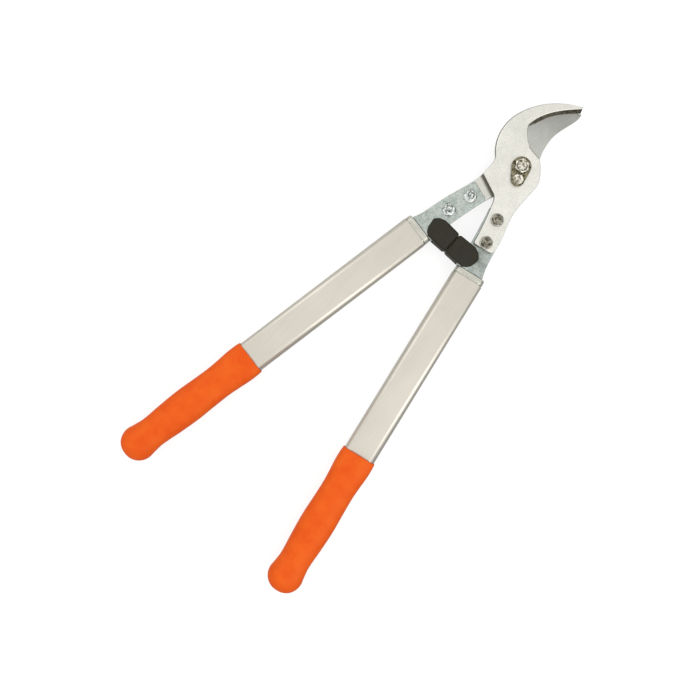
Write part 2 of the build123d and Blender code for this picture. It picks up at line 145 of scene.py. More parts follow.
# distance down the handle, width, depth and squareness of the grip's section
GRIP_SHAPE = (
    (352.0, 38.4, 24.2, 3.6), (358.0, 39.4, 25.4, 3.4), (369.0, 39.3, 26.0, 3.1), (382.0, 37.3, 25.4, 2.8),
    (396.0, 35.9, 25.0, 2.6), (415.0, 36.6, 26.0, 2.5), (437.0, 37.9, 27.0, 2.5), (460.0, 36.4, 26.2, 2.4),
    (484.0, 33.8, 25.0, 2.3), (495.0, 36.0, 27.2, 2.25), (503.0, 38.4, 29.0, 2.2),
)


# ---- what a user may change ----
def number(name, about, default, **more):
    """A number that a user may change."""
    return FloatProperty(name=name, description=about, default=default, **more)


def length(name, about, default):
    """A length in metres that a user may change."""
    return number(name, about, default, unit="LENGTH")


def colour(name, about, *default):
    """A linear colour that a user may change."""
    return FloatVectorProperty(name=name, description=about, default=default, subtype="COLOR")


class LopperSizes(PropertyGroup):
    """Edge rounds and surface detail."""

    hook_round: length("Hook edge", "Round of the hook's outer edge", 0.0026)
    blade_round: length("Blade edge", "Round of the blade's back and tang", 0.0007)
    casting_voxel: length("Casting voxel", "Cell size that the cast shanks are rounded with", 0.00055)
    rubber_round: length("Rubber edge", "Round of the rubber stops' edges", 0.0008)
    small_round: length("Small edge", "Broken edge of nuts, washers and tubes", 0.00028)
    thread_pitch: length("Thread pitch", "Pitch of the jaw bolts", 0.001)
    pivot_pitch: length("Pivot pitch", "Pitch of the pivot bolt", 0.0015)
    turn_seed: IntProperty(
        name="Turn seed", description="Seed for how far each nut and bolt is turned", default=4)


class LopperColours(PropertyGroup):
    """Main colours."""

    hook: colour("Hook", "Satin plate of the hook", 0.78, 0.77, 0.705)
    blade: colour("Blade", "Ground steel of the blade", 0.43, 0.435, 0.40)
    casting: colour("Shanks", "Zinc of the shanks", 0.48, 0.52, 0.49)
    tube: colour("Tubes", "Anodised aluminium", 0.70, 0.665, 0.585)
    collar: colour("Collars", "Turned alloy", 0.68, 0.67, 0.60)
    grip: colour("Grips", "Orange vinyl", 0.83, 0.110, 0.006)
    rubber: colour("Stops", "Black rubber", 0.018, 0.016, 0.0075)


class LopperStudio(PropertyGroup):
    """Camera and light."""

    height: length("Camera height", "From the middle of the tool", 1.0)
    lens: number("Lens", "Focal length in mm", 48.0)
    turn: number("Camera turn", "Turn of the picture about the vertical", radians(42.08), subtype="ANGLE")
    aim: FloatVectorProperty(
        name="Aim", description="Point of the ground below the camera", size=2, unit="LENGTH",
        default=(-0.0045, -0.0567))
    key: number("Key light", "Power in watts", 2.4)
    edge: number("Edge light", "Power in watts", 4.6)
    zenith: number("Overhead", "Strength of the surroundings overhead", 1.0)
    sky_low: number("Dark side", "Strength of the surroundings away from the window", 0.40)
    sky_high: number("Bright side", "Strength of the surroundings at the window", 0.72)
    glow: number("Floor glow", "Light that the floor gives of itself", 0.78)


SETTINGS = {"lopper_sizes": LopperSizes, "lopper_colours": LopperColours, "lopper_studio": LopperStudio}


def chosen(context):
    """The sizes and colours of the scene."""
    return context.scene.lopper_sizes, context.scene.lopper_colours


# ---- mesh helpers ----
INSIDE_ONLY = 1               # the triangulation's output that stays inside the outline
SHARP = 32.0                  # degrees between faces, beyond which an edge is sharp
ROUNDED = radians(28)         # the least angle between the faces of an edge that gets a round


def smooth(mesh, angle=SHARP):
    """Smooth shading, with edges sharp past the angle in degrees."""
    mesh.shade_smooth()
    mesh.set_sharp_from_angle(angle=radians(angle))


def made(name, bm, angle=None):
    """A new object from a bmesh, which is used up, shaded smooth if an angle is given."""
    mesh = bpy.data.meshes.new(name)
    bm.to_mesh(mesh)
    bm.free()
    if angle:
        smooth(mesh, angle)
    return linked(name, mesh)


def linked(name, data):
    """A new object in the scene."""
    piece = bpy.data.objects.new(name, data)
    bpy.context.scene.collection.objects.link(piece)
    return piece


def dress(piece, *materials):
    """Give the piece its materials in order."""
    piece.data.materials.clear()
    for material in materials:
        piece.data.materials.append(material)
    return piece


def settle(piece, side, node):
    """The piece moves with its handle and stands for the CAD node, which is hidden."""
    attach(piece, BODIES[side])
    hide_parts(node)


def baked(piece):
    """The piece with its modifiers applied and removed."""
    graph = bpy.context.evaluated_depsgraph_get()
    mesh = bpy.data.meshes.new_from_object(
        piece.evaluated_get(graph), preserve_all_data_layers=True, depsgraph=graph)
    piece.modifiers.clear()
    piece.data = mesh
    return piece


def copy_of(node, name):
    """A copy of a CAD node's mesh, its points merged and its flats whole."""
    bm = bmesh.new()
    bm.from_mesh(frame["nodes"][node].data)
    bmesh.ops.remove_doubles(bm, verts=bm.verts, dist=2e-6)
    bmesh.ops.dissolve_limit(bm, angle_limit=radians(0.4), verts=bm.verts, edges=bm.edges)
    return made(name, bm)


def round_edges(piece, width, segments=2, weighted=False):
    """Bevel the edges that have weight, or all that are sharp, and keep the flats clean."""
    bevel = piece.modifiers.new("Edges", "BEVEL")
    bevel.width = width
    bevel.segments = segments
    bevel.limit_method = "WEIGHT" if weighted else "ANGLE"
    bevel.angle_limit = ROUNDED
    bevel.use_clamp_overlap = False
    bevel.harden_normals = True
    piece.data.shade_smooth()
    return baked(piece)


def rolled_plate(node, name, rim_width, steps=5):
    """A copy of a flat CAD plate whose level faces meet its walls in a rolled rim.

    rim_width gives the roll in mm for a point, the wall's normal there and the side, 1 on top and -1
    underneath. The rolled faces take the piece's second material.
    """
    bm = bmesh.new()
    bm.from_mesh(frame["nodes"][node].data)
    bm.transform(PIVOT_PLACE.inverted())
    bmesh.ops.remove_doubles(bm, verts=bm.verts, dist=0.002)
    low, high = height_of(node)
    for level, up in ((high, 1), (low, -1)):
        roll_rim(bm, level, up, rim_width, steps)
    bmesh.ops.remove_doubles(bm, verts=bm.verts, dist=0.004)
    bmesh.ops.recalc_face_normals(bm, faces=bm.faces)
    bm.transform(PIVOT_PLACE)
    piece = made(name, bm, SHARP)
    flats = piece.modifiers.new("Flats", "WEIGHTED_NORMAL")
    flats.keep_sharp = True
    flats.weight = 100
    return baked(piece)


def roll_rim(bm, level, up, rim_width, steps):
    """Replace a level face by a smaller one, with faces that curl down to the walls."""
    cap = {face for face in bm.faces if all(abs(vert.co.z - level) < 0.004 for vert in face.verts)}
    rim = [edge for edge in bm.edges if len(edge.link_faces) == 2 and len(cap & set(edge.link_faces)) == 1]
    found = {}                # for each point of the rim: ways inwards, ways down the wall, wall normals
    for edge in rim:
        inner, wall = sorted(edge.link_faces, key=lambda face: face not in cap)
        line = (edge.verts[1].co - edge.verts[0].co).normalized()
        across = inner.calc_center_median() - edge.verts[0].co
        across = (across - line * across.dot(line)).normalized()
        fall = wall.normal.cross(line).normalized()
        fall *= -up if fall.z > 0 else up
        for vert in edge.verts:
            for ways, way in zip(found.setdefault(vert, ([], [], [])), (across, fall, wall.normal.copy())):
                ways.append(way)
    rings = {}
    for vert, (sides, falls, normals) in found.items():
        middle, fall, normal = (sum(ways, Vector()).normalized() for ways in (sides, falls, normals))
        reach = middle / max(0.7, middle.dot(sides[0]))
        corner = vert.co.copy()
        width = rim_width(corner, normal, up)
        vert.co = corner + width * fall
        rings[vert] = [vert] + [
            bm.verts.new(corner + width * ((1 - t) ** 2 * fall + t * t * reach))
            for t in ((step + 1) / steps for step in range(steps))]
    ends = [edge.verts[:] for edge in rim]
    bmesh.ops.delete(bm, geom=list(cap), context="FACES")
    for one, other in ends:
        for step in range(steps):
            face = bm.faces.new((rings[one][step], rings[other][step],
                                 rings[other][step + 1], rings[one][step + 1]))
            face.material_index = 1
    order = list(rings)
    index = {vert: place for place, vert in enumerate(order)}
    points = [rings[vert][-1].co.xy for vert in order]
    lines = [(index[one], index[other]) for one, other in ends]
    placed, _, triangles, sources, _, _ = delaunay_2d_cdt(points, lines, [], INSIDE_ONLY, 1e-5)
    corners = [rings[order[source[0]]][-1] if source else bm.verts.new((*point, level))
               for point, source in zip(placed, sources)]
    outline = [(points[one], points[other]) for one, other in lines]
    for triangle in triangles:
        if encloses(outline, sum((placed[corner] for corner in triangle), Vector((0, 0))) / 3):
            bm.faces.new([corners[corner] for corner in triangle])


def encloses(outline, point):
    """Whether a point lies inside an outline with holes, given as loose lines."""
    crossed = 0
    for one, other in outline:
        if (one.y > point.y) != (other.y > point.y):
            crossed += point.x < one.x + (point.y - one.y) * (other.x - one.x) / (other.y - one.y)
    return crossed % 2 == 1


def eased(share):
    """A share held between 0 and 1, with a gentle start and end."""
    share = min(1.0, max(0.0, share))
    return share * share * (3 - 2 * share)


def loft(name, rings, place, angle=SHARP, ring_closed=False):
    """A closed skin over rings of points in mm. One point makes a pole, and other ends get a cap."""
    bm = bmesh.new()
    rows = [[bm.verts.new(place @ point) for point in ring] for ring in rings]
    for here, there in zip(rows, rows[1:] + rows[:1] if ring_closed else rows[1:]):
        count = max(len(here), len(there))
        for step in range(count):
            after = (step + 1) % count
            corners = [here[step % len(here)], here[after % len(here)],
                       there[after % len(there)], there[step % len(there)]]
            bm.faces.new(list(dict.fromkeys(corners)))
    for end in (rows[0], rows[-1]):
        if len(end) > 1 and not ring_closed:
            bm.faces.new(end)
    bmesh.ops.recalc_face_normals(bm, faces=bm.faces)
    return made(name, bm, angle)


def join(name, pieces):
    """One object from several, which are used up."""
    bm = bmesh.new()
    for piece in pieces:
        bm.from_mesh(piece.data)
        bpy.data.objects.remove(piece)
    return made(name, bm, SHARP)


# ---- sections ----
def turned_ring(radius, height):
    """Points round the Z axis. Radius and height are numbers or functions of the angle."""
    ring = []
    for angle in (tau * step / ROUND_STEPS for step in range(ROUND_STEPS)):
        r, z = (value(angle) if callable(value) else value for value in (radius, height))
        ring.append(Vector((r * cos(angle), r * sin(angle), z)))
    return ring


def handle_ring(distance, half_wide, half_deep, power):
    """A squared-off ellipse round the tube's centre line, at a distance down the handle."""
    ring = []
    for angle in (tau * step / SECTION_STEPS for step in range(SECTION_STEPS)):
        x, z = (half * abs(part) ** (2 / power) * (1 if part > 0 else -1)
                for half, part in ((half_wide, cos(angle)), (half_deep, sin(angle))))
        ring.append(Vector((TUBE_X + x, -distance, z)))
    return ring


def rounded_ring(distance, wide, deep, corner, inset=0.0):
    """A rectangle with round corners there, drawn in by an inset."""
    points = []
    corner = max(corner - inset, 0.3)
    x_mid, z_mid = wide / 2 - inset - corner, deep / 2 - inset - corner
    quarter = SECTION_STEPS // 4
    for number, (sx, sz) in enumerate(((1, 1), (-1, 1), (-1, -1), (1, -1))):
        for step in range(quarter):
            angle = pi / 2 * (number + step / (quarter - 1))
            points.append(Vector((TUBE_X + sx * x_mid + corner * cos(angle), -distance,
                                  sz * z_mid + corner * sin(angle))))
    return points


def between(table, distance):
    """A row of the table at any distance, on a smooth curve through its rows."""
    here = max(i for i, row in enumerate(table[:-1]) if row[0] <= distance or i == 0)
    rows = [table[max(here - 1, 0)], table[here], table[here + 1], table[min(here + 2, len(table) - 1)]]
    t = (distance - rows[1][0]) / (rows[2][0] - rows[1][0])
    return [0.5 * (2 * b + (c - a) * t + (2 * a - 5 * b + 4 * c - d) * t * t + (3 * b - a - 3 * c + d) * t ** 3)
            for a, b, c, d in zip(*(row[1:] for row in rows))]


# ---- threads, heads and nuts ----
CORNER_SLOPE = 0.54           # fall of a turned hexagon's corners over their reach
CROWN = 0.95                  # flat top of a hexagon over its flats


def hexagon_rings(flats, low, high, turned_foot=False):
    """A hexagonal bar from its crown down, with its corners turned off."""
    crown = CROWN * flats / 2

    def side(angle):
        return flats / 2 / cos(angle % (pi / 3) - pi / 6)

    def fall(angle):
        return CORNER_SLOPE * (side(angle) - crown)

    rings = [turned_ring(crown, high), turned_ring(side, lambda angle: high - fall(angle))]
    if turned_foot:
        return rings + [turned_ring(side, lambda angle: low + fall(angle)), turned_ring(crown, low)]
    return rings + [turned_ring(side, low)]


def flanged_rings(height):
    """A hexagon with the cone and rim of a flange under it, standing on z = 0."""
    return hexagon_rings(BOLT_FLATS, 1.9, height) + [
        turned_ring(BOLT_FLATS / 2 + 0.9, 1.75), turned_ring(BOLT_FLANGE_R - 0.25, 0.98),
        turned_ring(BOLT_FLANGE_R, 0.75), turned_ring(BOLT_FLANGE_R, 0.2), turned_ring(BOLT_FLANGE_R - 0.25, 0)]


def flange_bolt_head(height):
    """Flange bolt head with a shallow dished top, standing on z = 0."""
    dish = [[Vector((0, 0, height - 0.7))], turned_ring(2.6, height - 0.7), turned_ring(3.5, height - 0.05)]
    return loft("bolt_head", dish + flanged_rings(height), Matrix.Identity(4), 20)


def flange_nut(height):
    """Flange nut with a countersunk bore, standing on z = 0."""
    bore = [turned_ring(BOLT_THREAD_R + 0.02, 0), turned_ring(BOLT_THREAD_R + 0.02, height - 0.6),
            turned_ring(BOLT_THREAD_R + 0.65, height)]
    return loft("flange_nut", bore + flanged_rings(height), Matrix.Identity(4), 20, ring_closed=True)


def threaded_bar(radius, pitch, low, high, thread_low, thread_high, bevel):
    """A bar with a helical thread between two heights, and both ends bevelled."""
    depth = 0.55 * pitch
    spacing = pitch / 8
    levels = [low + spacing * i for i in range(int((high - low) / spacing) + 1)] + [high]
    rings = [[Vector((0, 0, low))]]
    for level in levels:
        end = radius - max(0.0, bevel - (level - low), bevel - (high - level))
        cut = depth if thread_low <= level <= thread_high else 0.0

        def groove(angle, level=level, end=end, cut=cut):
            wave = (level / pitch - angle / tau) % 1
            return min(end, radius - cut * min(1, max(0, 1.5 - 3 * abs(2 * wave - 1))))

        rings.append(turned_ring(groove, level))
    rings.append([Vector((0, 0, high))])
    return loft("threaded_bar", rings, Matrix.Identity(4), 50)


# ---- node trees that repeat a piece ----
RANDOM_MOST, RANDOM_NUMBER = 3, 1         # the chance node's input and output for plain numbers


def add_node(tree, kind, inputs=None, out=0, **settings):
    """One output of a new node with these settings. Its inputs take values or other nodes' outputs."""
    node = tree.nodes.new(kind)
    for key, value in settings.items():
        setattr(node, key, value)
    for key, value in (inputs or {}).items():
        if isinstance(value, bpy.types.NodeSocket):
            tree.links.new(value, node.inputs[key])
        else:
            node.inputs[key].default_value = value
    return node.outputs[out] if node.outputs else None


def new_tree(name, sockets):
    """A geometry tree with named inputs: the tree, what it is given and the identifiers."""
    tree = bpy.data.node_groups.new(name, "GeometryNodeTree")
    add_socket = tree.interface.new_socket
    add_socket("Geometry", in_out="INPUT", socket_type="NodeSocketGeometry")
    known = {label: add_socket(label, in_out="INPUT", socket_type="NodeSocket" + kind).identifier
             for label, kind in sockets.items()}
    add_socket("Geometry", in_out="OUTPUT", socket_type="NodeSocketGeometry")
    return tree, add_node(tree, "NodeGroupInput").node.outputs, known


def on_axes(tree, given, count, shape, turn=(0, 0, 0)):
    """The shape set on a row of axes from the inputs Near and Step, and made real."""
    row = add_node(tree, "GeometryNodeMeshLine", {
        "Count": count, "Start Location": given["Near"], "Offset": given["Step"]}, mode="OFFSET")
    copies = add_node(tree, "GeometryNodeInstanceOnPoints", {
        "Points": row, "Instance": shape, "Rotation": turn})
    return add_node(tree, "GeometryNodeRealizeInstances", {"Geometry": copies})


def painted(tree, shape, material, where=True):
    """The shape with the material on the chosen faces."""
    return add_node(tree, "GeometryNodeSetMaterial", {
        "Geometry": shape, "Selection": where, "Material": material})


def run_tree(piece, tree, known, values):
    """Run a tree on a piece with these inputs, and keep the plain mesh in its place."""
    modifier = piece.modifiers.new(tree.name, "NODES")
    modifier.node_group = tree
    for label, value in values.items():
        modifier[known[label]] = value
    baked(piece).data.transform(PIVOT_PLACE)


def pair_tree():
    """Sets a piece on two axes, each turned by chance, with a material for hexagon and flange."""
    tree, given, known = new_tree("Pair on a handle", {
        "Near": "Vector", "Step": "Vector", "Most turn": "Float", "Seed": "Int", "Flange from": "Float",
        "Hexagon": "Material", "Flange": "Material"})
    here = add_node(tree, "GeometryNodeInputPosition")
    flat = add_node(tree, "ShaderNodeVectorMath", {0: here, 1: (1, 1, 0)}, operation="MULTIPLY")
    reach = add_node(tree, "ShaderNodeVectorMath", {0: flat}, "Value", operation="LENGTH")
    shape = add_node(tree, "GeometryNodeStoreNamedAttribute", {
        "Geometry": given["Geometry"], "Name": "reach", "Value": reach}, data_type="FLOAT")
    turn = add_node(tree, "FunctionNodeRandomValue", {
        RANDOM_MOST: given["Most turn"], "Seed": given["Seed"]}, RANDOM_NUMBER, data_type="FLOAT")
    pair = on_axes(tree, given, 2, shape, add_node(tree, "ShaderNodeCombineXYZ", {"Z": turn}))
    stored = add_node(tree, "GeometryNodeInputNamedAttribute", {"Name": "reach"}, data_type="FLOAT")
    beyond = add_node(tree, "ShaderNodeMath", {0: stored, 1: given["Flange from"]}, operation="GREATER_THAN")
    pair = painted(tree, painted(tree, pair, given["Hexagon"]), given["Flange"], beyond)
    add_node(tree, "NodeGroupOutput", {"Geometry": pair})
    return tree, known


def pin_tree():
    """Rolls a slotted spring pin from an arc and a wall, on one or two upright axes."""
    tree, given, known = new_tree("Spring pins", {
        "Radius": "Float", "Wall": "Float", "Length": "Float", "Count": "Int", "Near": "Vector",
        "Step": "Vector", "Material": "Material"})
    half = add_node(tree, "ShaderNodeMath", {0: given["Wall"], 1: 0.5}, operation="MULTIPLY")
    middle = add_node(tree, "ShaderNodeMath", {0: given["Radius"], 1: half}, operation="SUBTRACT")
    arc = add_node(tree, "GeometryNodeCurveArc", {
        "Resolution": 40, "Sweep Angle": radians(322), "Radius": middle})
    wall = add_node(tree, "GeometryNodeCurvePrimitiveQuadrilateral", {
        "Width": given["Wall"], "Height": given["Length"]})
    pin = add_node(tree, "GeometryNodeCurveToMesh", {"Fill Caps": True, "Curve": arc, "Profile Curve": wall})
    pins = painted(tree, on_axes(tree, given, given["Count"], pin), given["Material"])
    add_node(tree, "NodeGroupOutput", {"Geometry": pins})
    return tree, known


# ---- finishes ----
WHITE = (1, 1, 1)


class Finish:
    """A material being made. Its patterns read the object's own coordinates."""

    def __init__(self, name, metallic, roughness, specular=0.5):
        self.material = bpy.data.materials.new(name)
        self.material.use_nodes = True
        self.tree = self.material.node_tree
        self.shader = self.tree.nodes["Principled BSDF"].inputs
        for key, value in (("Metallic", metallic), ("Roughness", roughness), ("Specular IOR Level", specular)):
            self.shader[key].default_value = value

    @cached_property
    def centred(self):
        """Coordinates about the pivot."""
        own = add_node(self.tree, "ShaderNodeTexCoord", out="Object")
        return add_node(self.tree, "ShaderNodeMapping", {"Vector": own, "Location": tuple(-PIVOT)})

    def noise(self, scale, detail=4.0, rough=0.6, distortion=0.0, coords=None):
        """A noise pattern's factor, with the scale in cells per metre."""
        return add_node(self.tree, "ShaderNodeTexNoise", {
            "Vector": coords or self.centred, "Scale": scale, "Detail": detail, "Roughness": rough,
            "Distortion": distortion})

    def streaks(self, scales, turn=0.0, detail=3, rough=0.6):
        """Noise stretched by its scales along each axis, turned about the vertical."""
        coords = add_node(self.tree, "ShaderNodeMapping", {
            "Vector": self.centred, "Rotation": (0, 0, turn), "Scale": scales})
        return self.noise(1, detail, rough, coords=coords)

    def cells(self, scale):
        """A cell pattern's grey value for each cell, with the scale in cells per metre."""
        pattern = add_node(self.tree, "ShaderNodeTexVoronoi", {"Vector": self.centred, "Scale": scale}, "Color")
        return add_node(self.tree, "ShaderNodeRGBToBW", {"Color": pattern})

    def spread(self, factor, low, high, from_low=0.3, from_high=0.7):
        """A factor spread over a range of values."""
        return add_node(self.tree, "ShaderNodeMapRange", {
            "Value": factor, "From Min": from_low, "From Max": from_high, "To Min": low, "To Max": high})

    def beyond(self, start, end):
        """From 0 to 1 between two distances past the pivot, in metres towards the jaw tips."""
        ahead = add_node(self.tree, "ShaderNodeSeparateXYZ", {"Vector": self.centred}, "Y")
        return self.spread(ahead, 0, 1, start, end)

    def tones(self, factor, base, *stops):
        """The base colour times a number, or a number for each part, at each (position, times) stop."""
        ramp = add_node(self.tree, "ShaderNodeValToRGB", {"Fac": factor})
        elements = ramp.node.color_ramp.elements
        while len(elements) < len(stops):
            elements.new(0.5)
        for element, (position, times) in zip(elements, stops):
            times = times if isinstance(times, tuple) else (times,) * 3
            element.position = position
            element.color = [part * share for part, share in zip(base, times)] + [1]
        return ramp

    def mixed(self, first, second, factor=1.0, kind="MULTIPLY"):
        """Two colours multiplied, or mixed by a factor."""
        return add_node(self.tree, "ShaderNodeMix", {0: factor, 6: first, 7: second}, 2,
                        data_type="RGBA", blend_type=kind)

    def done(self, base, roughness, *bumps):
        """The material with its colour, roughness and bumps (height, distance, strength)."""
        looks = {"Base Color": base, "Roughness": roughness}
        for height, distance, strength in bumps:
            bump = {"Height": height, "Distance": distance, "Strength": strength}
            if "Normal" in looks:
                bump["Normal"] = looks["Normal"]
            looks["Normal"] = add_node(self.tree, "ShaderNodeBump", bump)
        for key, socket in looks.items():
            if socket:
                self.tree.links.new(socket, self.shader[key])
        return self.material


def satin_plate(name, base, roughness=0.36, contrast=0.05):
    """Satin nickel over blasted steel, with a fine grain, and a painted sheen that makes the hub and tang
    paler.
    """
    finish = Finish(name, 1.0, roughness)
    cloud, grain = finish.noise(55, 5, 0.62), finish.noise(800, 4, 0.75)
    clouded = finish.tones(cloud, base, (0.32, 1 - contrast), (0.68, 1 + contrast))
    # painted sheen: the plate is 5% paler up to 10 mm past the pivot, fading out by 28 mm
    hub_sheen = finish.tones(finish.beyond(0.010, 0.028), WHITE, (0, (1.05, 1.05, 1.055)), (1, 1))
    speck = finish.tones(grain, WHITE, (0.34, 0.80), (0.52, 1))
    return finish.done(finish.mixed(finish.mixed(clouded, hub_sheen), speck),
                       finish.spread(cloud, roughness - 0.05, roughness + 0.07), (grain, 0.00012, 0.5))


SHOULDER_FACES = (-0.357, -0.934, 0)      # from the pivot square across the hook's shoulder
SHADOW_FADES = (0.0400, 0.0428)           # metres from the pivot that way, over which the hook's painted shadow fades out


def ground_steel(name, base, plate, roughness=0.34):
    """Blade steel: plated on hub and tang with a painted shadow where the hook covers it, and ground grey
    beyond in painted shade that darkens towards the tip.
    """
    finish = Finish(name, 1.0, roughness)
    streaks, cloud = finish.streaks((1600, 90, 300), radians(-35)), finish.noise(38)
    ground = finish.tones(cloud, base, (0.3, 1.22), (0.7, 1.46))
    bright = finish.tones(cloud, plate, (0.3, 0.95), (0.7, 1.04))
    # painted shade: the ground steel is darker towards the tip, down to 0.71 of its tone
    tip_shade = finish.tones(finish.beyond(0.030, 0.066), WHITE, (0, 1), (1, 0.71))
    past = add_node(finish.tree, "ShaderNodeVectorMath", {0: finish.centred, 1: SHOULDER_FACES}, "Value",
                    operation="DOT_PRODUCT")
    # painted shadow of the hook on the tang: short of its shoulder the plate is 0.3 as bright
    shoulder_shadow = finish.tones(finish.spread(past, 0, 1, *SHADOW_FADES), WHITE, (0, (0.30, 0.29, 0.26)), (1, 1))
    lines = finish.tones(streaks, WHITE, (0.3, 0.80), (0.7, 1))
    zones = finish.mixed(finish.mixed(bright, shoulder_shadow), finish.mixed(ground, tip_shade),
                         finish.beyond(-0.004, 0.008), "MIX")
    return finish.done(finish.mixed(zones, lines),
                       finish.spread(streaks, roughness - 0.06, roughness + 0.08), (streaks, 0.00006, 0.5))


def zinc_casting(name, base):
    """Zinc-plated casting: crystal spangle, a sandy skin and darker pits."""
    finish = Finish(name, 1.0, 0.4)
    spangle, cloud, skin = finish.cells(420), finish.noise(90, 5, 0.65), finish.noise(700, 4, 0.65)
    clouded = finish.tones(cloud, base, (0.34, 0.86), (0.5, 1), (0.68, 1.14))
    facets = finish.tones(spangle, WHITE, (0.2, (0.82, 0.84, 0.84)), (0.8, 1.08))
    pits = finish.tones(skin, WHITE, (0.32, (0.60, 0.62, 0.62)), (0.48, 1.06))
    return finish.done(finish.mixed(finish.mixed(clouded, facets), pits),
                       finish.spread(spangle, 0.3, 0.5, 0.2, 0.8), (skin, 0.00022, 0.6))


def drawn_aluminium(name, base, turn):
    """Satin anodised tube with the faint lines of its drawing along the handle."""
    finish = Finish(name, 1.0, 0.38)
    lines = finish.streaks((1500, 14, 1500), turn)
    clouded = finish.tones(finish.noise(26, 3, 0.5), base, (0.35, 0.975), (0.65, 1.02))
    drawn = finish.tones(lines, WHITE, (0.35, 0.93), (0.6, 1))
    return finish.done(finish.mixed(clouded, drawn), finish.spread(lines, 0.34, 0.44), (lines, 0.00004, 0.4))


def turned_alloy(name, base, turn):
    """The collars: fine parallel tool marks round the handle."""
    finish = Finish(name, 1.0, 0.4)
    marks = finish.streaks((60, 1900, 60), turn, 2, 0.5)
    return finish.done(finish.tones(marks, base, (0.36, 0.84), (0.6, 1.04)),
                       finish.spread(marks, 0.34, 0.48), (marks, 0.00012, 0.6))


def oiled_steel(name, dark, light, roughness=0.3):
    """Dark oiled steel with bare places where tools have touched it."""
    finish = Finish(name, 1.0, roughness)
    patches = finish.noise(330, distortion=0.4)
    return finish.done(finish.tones(patches, WHITE, (0.42, dark), (0.58, light)),
                       finish.spread(patches, roughness + 0.12, roughness - 0.06), (patches, 0.0001, 0.4))


def moulded_vinyl(name, base):
    """Soft orange vinyl: a fine leathery grain, slightly uneven colour and a waxy gloss."""
    finish = Finish(name, 0.0, 0.5, 0.13)
    creases = finish.noise(420, distortion=0.8)
    uneven = finish.tones(finish.noise(62, 5, 0.62), base, (0.34, (0.96, 0.84, 0.8)), (0.66, (1.03, 1.16, 1.5)))
    return finish.done(uneven, finish.spread(creases, 0.38, 0.55), (creases, 0.00025, 0.35),
                       (finish.noise(1500, 3), 0.00012, 0.5))


def moulded_rubber(name, base):
    """Matt black rubber, greyer and smoother where it has been rubbed."""
    finish = Finish(name, 0.0, 0.6, 0.3)
    cloud = finish.noise(110)
    return finish.done(finish.tones(cloud, base, (0.35, 0.8), (0.65, 1.35)),
                       finish.spread(cloud, 0.46, 0.66), (finish.noise(1700, 3), 0.00015, 0.6))


def plain_moulding(name, base):
    """Glass-filled nylon of the hidden cores."""
    finish = Finish(name, 0.0, 0.55)
    fibres = finish.streaks((900, 120, 900))
    return finish.done(finish.tones(fibres, base, (0.3, 0.8), (0.7, 1.2)), None, (fibres, 0.00008, 0.5))


# ---- operators, one for each piece or group ----


class LOPPERS_OT_hook(Operator):
    """Forged hook with a round outer edge, a ground mouth darkened with painted shadow and steep flanks in
    painted shade
    """

    bl_idname = "loppers.hook"
    bl_label = "Hook"

    MOUTH_LEAN = (0.12, 0.6)  # how far the walls of the ground mouth face upwards
    FLANK_LEAN = 0.76         # below this, a face belongs to the flank, painted with shade at half the hook's brightness
    TIP_FADES = 14            # mm below the tip where the rounds start to shrink
    BACK_FROM, BACK_RISE, BACK_FALL = -16, 34, 60         # mm along which the back's round grows and shrinks
    ELSEWHERE = 0.34          # round of the other edges, as a share of the back's
    HOLE_ROUND = 0.3
    FOOT_ROUND = 0.25

    def execute(self, context):
        sizes, colours = chosen(context)
        self.back = sizes.hook_round / MM
        self.holes = [(Vector((0, 0, 0)), PIVOT_SHANK_R), (middle_of("lock_screw"), PIVOT_SHANK_R)]
        self.holes += [(axis, BOLT_THREAD_R) for axis in two_axes("hook_bolts", BOLT_FLANGE_R)]
        hook = rolled_plate("counter_blade", "forged_hook", self.rim_width)
        dress(hook, satin_plate("satin_plate", colours.hook),
              satin_plate("satin_plate_edge", colours.hook, 0.30, 0.03),
              oiled_steel("ground_mouth_painted_shadow", (0.10, 0.09, 0.065), (0.22, 0.20, 0.155), 0.4),
              satin_plate("satin_flank_painted_shade", tuple(0.5 * part for part in colours.hook), 0.42))
        # the mouth's bevel takes dark oiled steel, which is painted shadow; steep faces take the flank's
        # painted shade
        for face in hook.data.polygons:
            if face.material_index == 0 and self.MOUTH_LEAN[0] < face.normal.z < self.MOUTH_LEAN[1]:
                face.material_index = 2
            elif abs(face.normal.z) < self.FLANK_LEAN:
                face.material_index = 3
        settle(hook, "right", "counter_blade")
        return {"FINISHED"}

    def rim_width(self, point, normal, up):
        """Widest along the middle of the back, small at holes and underneath, none at the tip."""
        below_tip = HOOK_TIP_Y - point.y
        at_tip = eased(below_tip / self.TIP_FADES)
        if up < 0:
            return self.FOOT_ROUND * at_tip
        if any((point - axis).xy.length < radius + 0.5 for axis, radius in self.holes):
            return self.HOLE_ROUND
        on_back = 0
        if normal.x < 0.3 and normal.y > -0.9:            # the outer curve, not the mouth or the tang's end
            on_back = eased((point.y - self.BACK_FROM) / self.BACK_RISE) * eased(below_tip / self.BACK_FALL)
        return self.back * (self.ELSEWHERE + (1 - self.ELSEWHERE) * on_back) * at_tip


class LOPPERS_OT_blade(Operator):
    """Curved cutting blade with a broken back edge"""

    bl_idname = "loppers.blade"
    bl_label = "Blade"

    LEANING = 0.2             # past this lean a wall is ground to an edge
    TIP_FADES = 12            # mm below the tip where the round starts to shrink

    def execute(self, context):
        sizes, colours = chosen(context)
        self.back = sizes.blade_round / MM
        blade = rolled_plate("cutting_blade", "curved_blade", self.rim_width, 4)
        dress(blade, ground_steel("ground_steel", colours.blade, colours.hook),
              ground_steel("ground_steel_edge", colours.hook, colours.hook, 0.26))
        settle(blade, "left", "cutting_blade")
        return {"FINISHED"}

    def rim_width(self, point, normal, up):
        """The tip stays sharp, and so does the cutting edge, where the wall leans."""
        upright = eased(1 - abs(normal.z) / self.LEANING)
        return self.back * upright * eased((BLADE_TIP_Y - point.y) / self.TIP_FADES)


